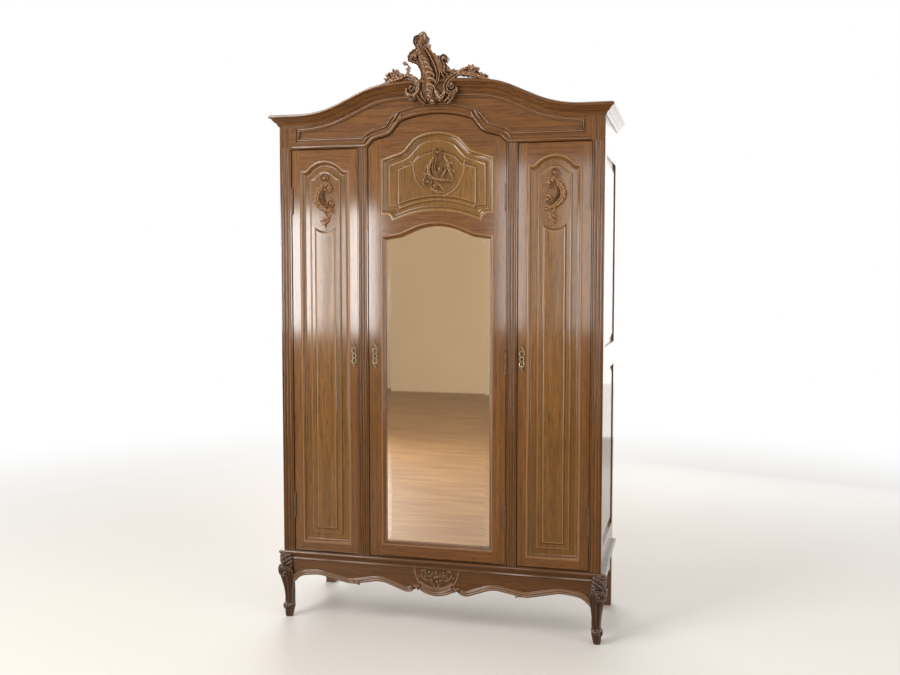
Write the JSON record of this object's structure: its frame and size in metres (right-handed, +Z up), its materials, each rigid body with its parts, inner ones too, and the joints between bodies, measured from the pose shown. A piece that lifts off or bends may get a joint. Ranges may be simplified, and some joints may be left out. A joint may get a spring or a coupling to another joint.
{
  "type": "wardrobe",
  "caption": "Tall three-door oak wardrobe with a mirror in its arched middle door, fielded side doors, a serpentine cornice, a carved crest, a shaped apron and cabriole front legs.",
  "frame": {"origin": "on the floor under the middle of the whole object's bounding box", "axes": "+Z up, +X to the right as one faces the doors, +Y to the back"},
  "size_m": [1.432, 0.58, 2.4554],
  "materials": {
    "dark_oak": "dark stained and varnished",
    "plain_oak": "plain, waxed",
    "brass": "worn polish",
    "iron": "dull",
    "mirror": "silvered"
  },
  "bodies": {
    "carcass": {"front_legs": "dark_oak", "front_apron": "dark_oak", "side_aprons": "dark_oak", "rear_rail": "plain_oak", "base_moulding": "dark_oak", "bottom_board": "plain_oak", "front_left_post": "dark_oak", "front_right_post": "dark_oak", "rear_left_post": "dark_oak", "rear_right_post": "dark_oak", "left_divider": "dark_oak", "right_divider": "dark_oak", "left_partition": "plain_oak", "right_partition": "plain_oak", "left_side_rails": "dark_oak", "right_side_rails": "dark_oak", "left_side_panels": "dark_oak", "right_side_panels": "dark_oak", "back_frame": "plain_oak", "back_panels": "plain_oak", "top_board": "plain_oak", "frieze": "dark_oak", "frieze_bead": "dark_oak", "frieze_blocks": "dark_oak", "top_frame": "plain_oak", "cornice_front": "dark_oak", "cornice_sides": "dark_oak", "crest": "dark_oak", "left_shelves": "plain_oak", "right_shelves": "plain_oak", "shelf_battens": "plain_oak", "hat_shelf": "plain_oak", "hanging_rail": "brass", "rail_sockets": "brass", "frame_hinge_leaves": "iron"},
    "left_door": {"left_door_stiles": "dark_oak", "left_door_rails": "dark_oak", "left_door_panel": "dark_oak", "left_door_escutcheon": "brass", "left_door_hinge_leaves": "iron", "left_door_lock": "iron"},
    "left_bolt": {"left_door_bolt": "iron"},
    "right_door": {"right_door_stiles": "dark_oak", "right_door_rails": "dark_oak", "right_door_panel": "dark_oak", "right_door_escutcheon": "brass", "right_door_hinge_leaves": "iron", "right_door_lock": "iron"},
    "right_bolt": {"right_door_bolt": "iron"},
    "centre_door": {"centre_door_stiles": "dark_oak", "centre_door_rails": "dark_oak", "centre_door_panel": "dark_oak", "mirror_moulding": "dark_oak", "mirror_glass": "mirror", "mirror_backing": "plain_oak", "centre_door_escutcheon": "brass", "centre_door_hinge_leaves": "iron", "centre_door_lock": "iron"},
    "centre_bolt": {"centre_door_bolt": "iron"}
  },
  "joints": [
    {"name": "left_door_hinge", "type": "hinge", "parent": "carcass", "child": "left_door", "pos_m": [-0.6267, -0.2393, 1.135], "axis": [0, 0, -1], "range_deg": [0, 110]},
    {"name": "centre_door_hinge", "type": "hinge", "parent": "carcass", "child": "centre_door", "pos_m": [0.2882, -0.2393, 1.135], "axis": [0, 0, 1], "range_deg": [0, 100]},
    {"name": "right_door_hinge", "type": "hinge", "parent": "carcass", "child": "right_door", "pos_m": [0.6267, -0.2393, 1.135], "axis": [0, 0, 1], "range_deg": [0, 110]},
    {"name": "left_bolt_slide", "type": "slide", "parent": "left_door", "child": "left_bolt", "axis": [1, 0, 0], "range_m": [0, 0.009]},
    {"name": "centre_bolt_slide", "type": "slide", "parent": "centre_door", "child": "centre_bolt", "axis": [-1, 0, 0], "range_m": [0, 0.009]},
    {"name": "right_bolt_slide", "type": "slide", "parent": "right_door", "child": "right_bolt", "axis": [-1, 0, 0], "range_m": [0, 0.009]}
  ]
}
